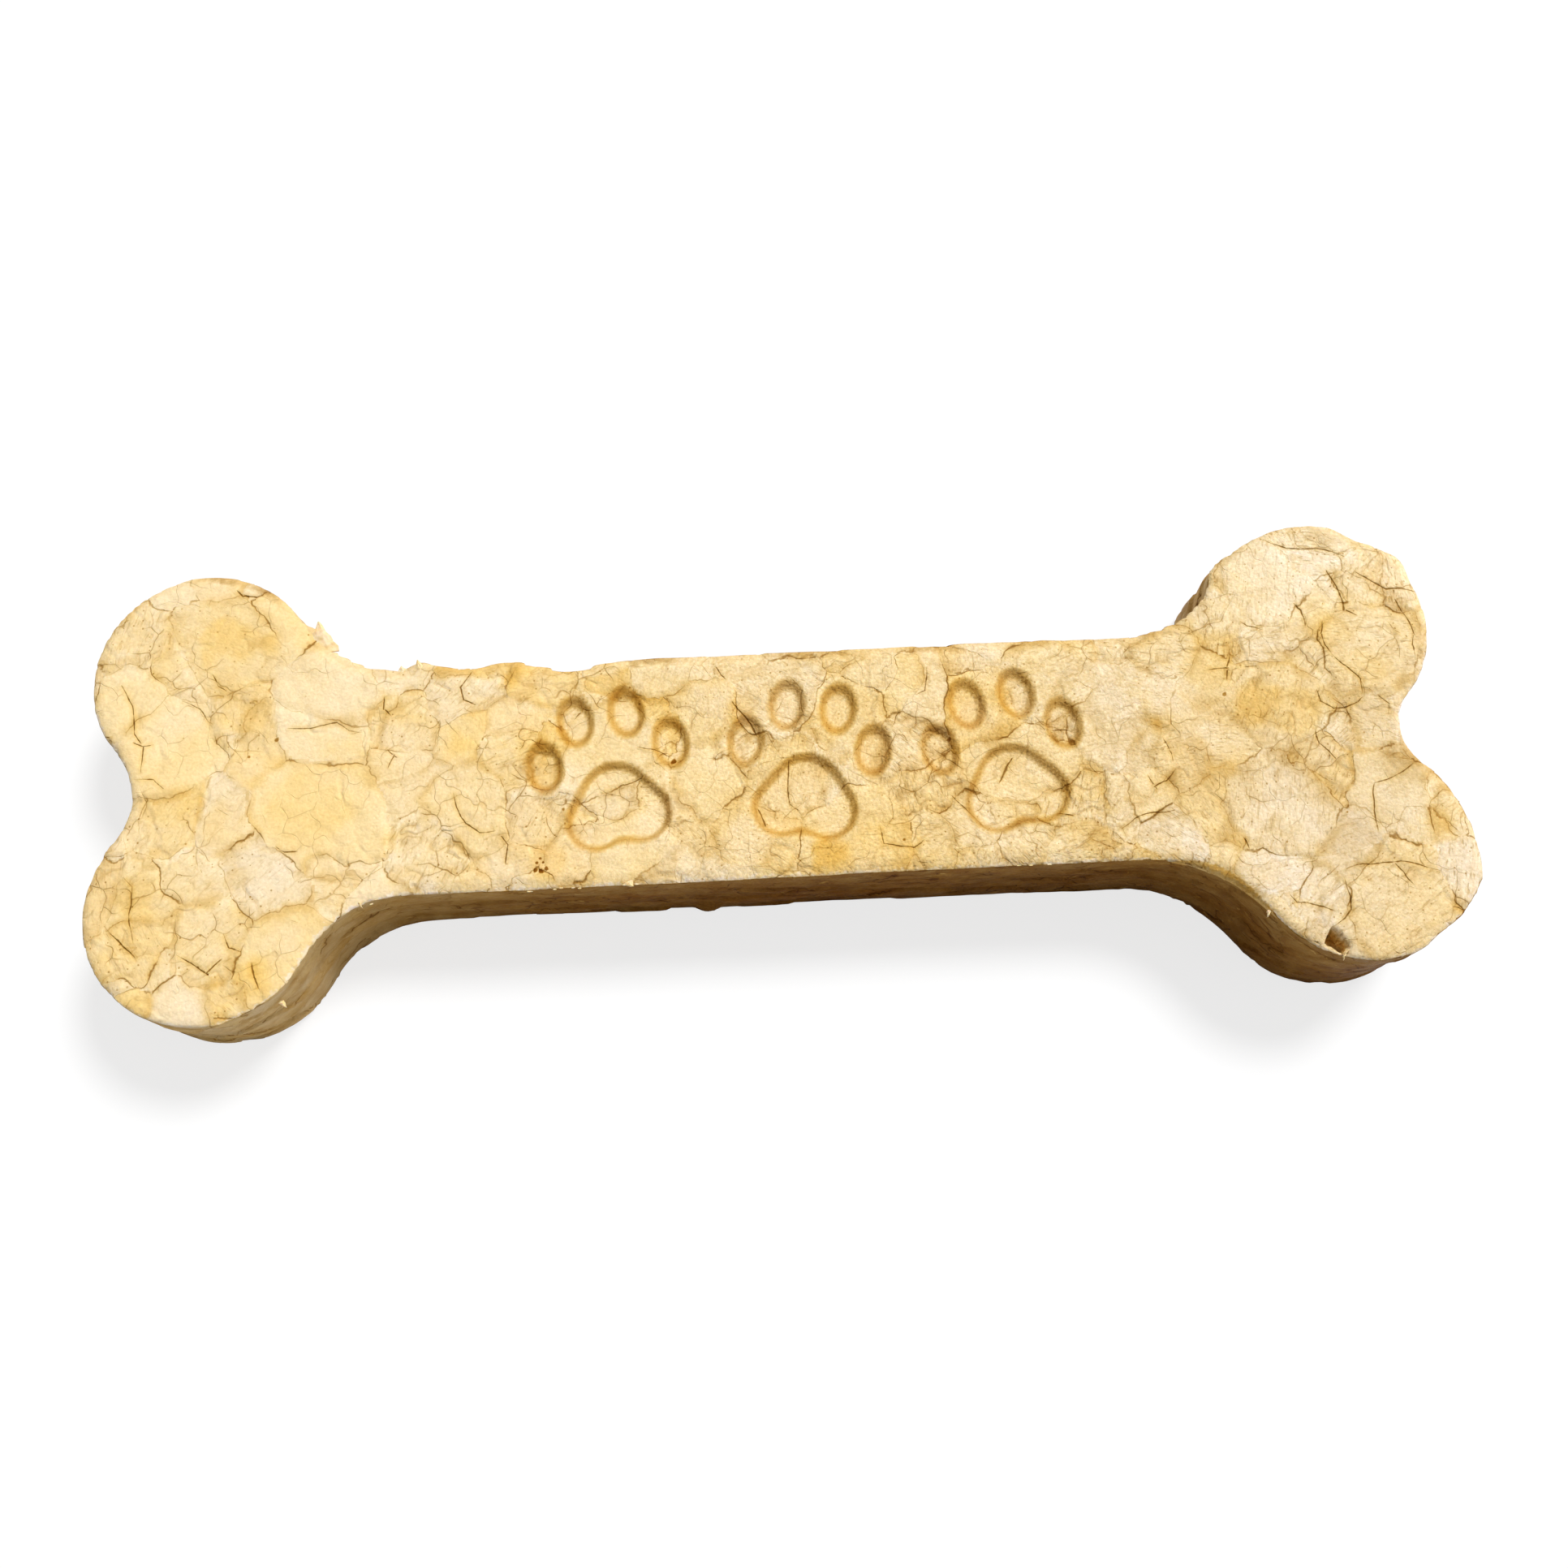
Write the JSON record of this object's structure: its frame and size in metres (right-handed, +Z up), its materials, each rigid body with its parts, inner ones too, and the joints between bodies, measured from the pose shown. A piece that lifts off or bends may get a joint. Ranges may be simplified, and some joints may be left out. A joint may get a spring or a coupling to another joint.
{
  "type": "collagen dog chew",
  "caption": "Bone-shaped dog chew pressed from dried collagen flakes, with two-lobed ends and plain paw prints sunk in its shaft.",
  "frame": {"origin": "middle of the bounding box's bottom: the chew lies flat with its under face at z = 0", "axes": "+X along the bone towards its thicker end, +Y across it towards the side at the back of the picture, +Z up through its thickness"},
  "size_m": [0.202, 0.0692, 0.0226],
  "materials": {
    "collagen": "pressed flakes of dried collagen, pale cream to amber, satin, with thin dark seams"
  },
  "bodies": {
    "root": {"chew": "collagen"}
  },
  "joints": []
}
